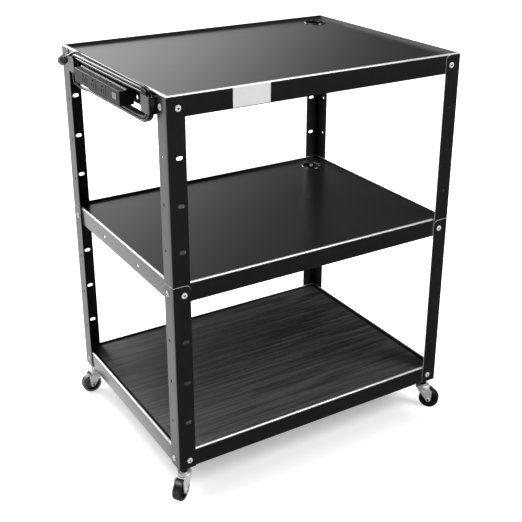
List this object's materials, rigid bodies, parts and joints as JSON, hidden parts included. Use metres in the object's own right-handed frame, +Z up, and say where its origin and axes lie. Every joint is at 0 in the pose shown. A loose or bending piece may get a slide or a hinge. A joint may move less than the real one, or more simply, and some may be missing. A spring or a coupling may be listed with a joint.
{
  "type": "audio visual cart",
  "caption": "Black steel audio visual cart with open shelves on slotted angle legs, a side-mounted power strip with its wound cord, and swivel casters.",
  "frame": {"origin": "centre of the box round the cart without its cord, on the floor that the casters stand on", "axes": "+X to the right along the front edge, +Y from the front to the back, +Z up"},
  "size_m": [0.8662, 0.6508, 1.0395],
  "materials": {
    "powder_coat": "satin",
    "shelf_coat": "satin",
    "mat_rubber": "matte",
    "zinc": "satin",
    "tyre_rubber": "matte",
    "hub_plastic": "matte",
    "strip_housing": "satin",
    "black_plastic": "matte",
    "usb_plastic": "gloss",
    "brass": "satin",
    "cord_jacket": "matte",
    "plate_white": "satin"
  },
  "bodies": {
    "cart": {"top_shelf": "shelf_coat", "middle_shelf": "shelf_coat", "bottom_shelf": "shelf_coat", "bottom_shelf_mat": "mat_rubber", "cable_grommet_top": "black_plastic", "cable_grommet_middle": "black_plastic", "label_plate": "plate_white", "strip_housing": "strip_housing", "strip_end_cap_front": "black_plastic", "strip_end_cap_back": "black_plastic", "outlet_1": "black_plastic", "outlet_2": "black_plastic", "outlet_3": "black_plastic", "usb_module": "usb_plastic", "bus_bar_live": "brass", "bus_bar_neutral": "brass", "bus_bar_earth": "brass", "strip_screw_front": "zinc", "strip_screw_back": "zinc", "cord_gland": "black_plastic", "cord_lead_in": "cord_jacket", "cord_winding": "cord_jacket", "cord_lead_out": "cord_jacket", "cord_plug": "black_plastic", "cord_bracket_front": "strip_housing", "cord_bracket_back": "strip_housing", "upper_leg_front_left": "powder_coat", "lower_leg_front_left": "powder_coat", "caster_bracket_front_left": "powder_coat", "caster_stem_front_left": "zinc", "upper_leg_front_right": "powder_coat", "lower_leg_front_right": "powder_coat", "caster_bracket_front_right": "powder_coat", "caster_stem_front_right": "zinc", "upper_leg_back_left": "powder_coat", "lower_leg_back_left": "powder_coat", "caster_bracket_back_left": "powder_coat", "caster_stem_back_left": "zinc", "upper_leg_back_right": "powder_coat", "lower_leg_back_right": "powder_coat", "caster_bracket_back_right": "powder_coat", "caster_stem_back_right": "zinc"},
    "swivel_front_left": {"caster_fork_front_left": "zinc", "caster_axle_front_left": "zinc"},
    "wheel_front_left": {"caster_hub_front_left": "hub_plastic", "caster_tyre_front_left": "tyre_rubber"},
    "swivel_front_right": {"caster_fork_front_right": "zinc", "caster_axle_front_right": "zinc"},
    "wheel_front_right": {"caster_hub_front_right": "hub_plastic", "caster_tyre_front_right": "tyre_rubber"},
    "swivel_back_left": {"caster_fork_back_left": "zinc", "caster_axle_back_left": "zinc"},
    "wheel_back_left": {"caster_hub_back_left": "hub_plastic", "caster_tyre_back_left": "tyre_rubber"},
    "swivel_back_right": {"caster_fork_back_right": "zinc", "caster_axle_back_right": "zinc"},
    "wheel_back_right": {"caster_hub_back_right": "hub_plastic", "caster_tyre_back_right": "tyre_rubber"}
  },
  "joints": [
    {"name": "swivel_front_left", "type": "hinge", "parent": "cart", "child": "swivel_front_left", "pos_m": [-0.37464, -0.2828, 0.0585], "axis": [0, 0, 1], "continuous": true},
    {"name": "spin_front_left", "type": "hinge", "parent": "swivel_front_left", "child": "wheel_front_left", "pos_m": [-0.39102, -0.29427, 0.028], "axis": [0.5736, -0.8192, 0], "continuous": true},
    {"name": "swivel_front_right", "type": "hinge", "parent": "cart", "child": "swivel_front_right", "pos_m": [0.39416, -0.2828, 0.0585], "axis": [0, 0, 1], "continuous": true},
    {"name": "spin_front_right", "type": "hinge", "parent": "swivel_front_right", "child": "wheel_front_right", "pos_m": [0.40729, -0.29789, 0.028], "axis": [0.7547, 0.6561, 0], "continuous": true},
    {"name": "swivel_back_left", "type": "hinge", "parent": "cart", "child": "swivel_back_left", "pos_m": [-0.37464, 0.2828, 0.0585], "axis": [0, 0, 1], "continuous": true},
    {"name": "spin_back_left", "type": "hinge", "parent": "swivel_back_left", "child": "wheel_back_left", "pos_m": [-0.39464, 0.2828, 0.028], "axis": [0, -1, 0], "continuous": true},
    {"name": "swivel_back_right", "type": "hinge", "parent": "cart", "child": "swivel_back_right", "pos_m": [0.39416, 0.2828, 0.0585], "axis": [0, 0, 1], "continuous": true},
    {"name": "spin_back_right", "type": "hinge", "parent": "swivel_back_right", "child": "wheel_back_right", "pos_m": [0.40729, 0.29789, 0.028], "axis": [-0.7547, 0.6561, 0], "continuous": true}
  ]
}
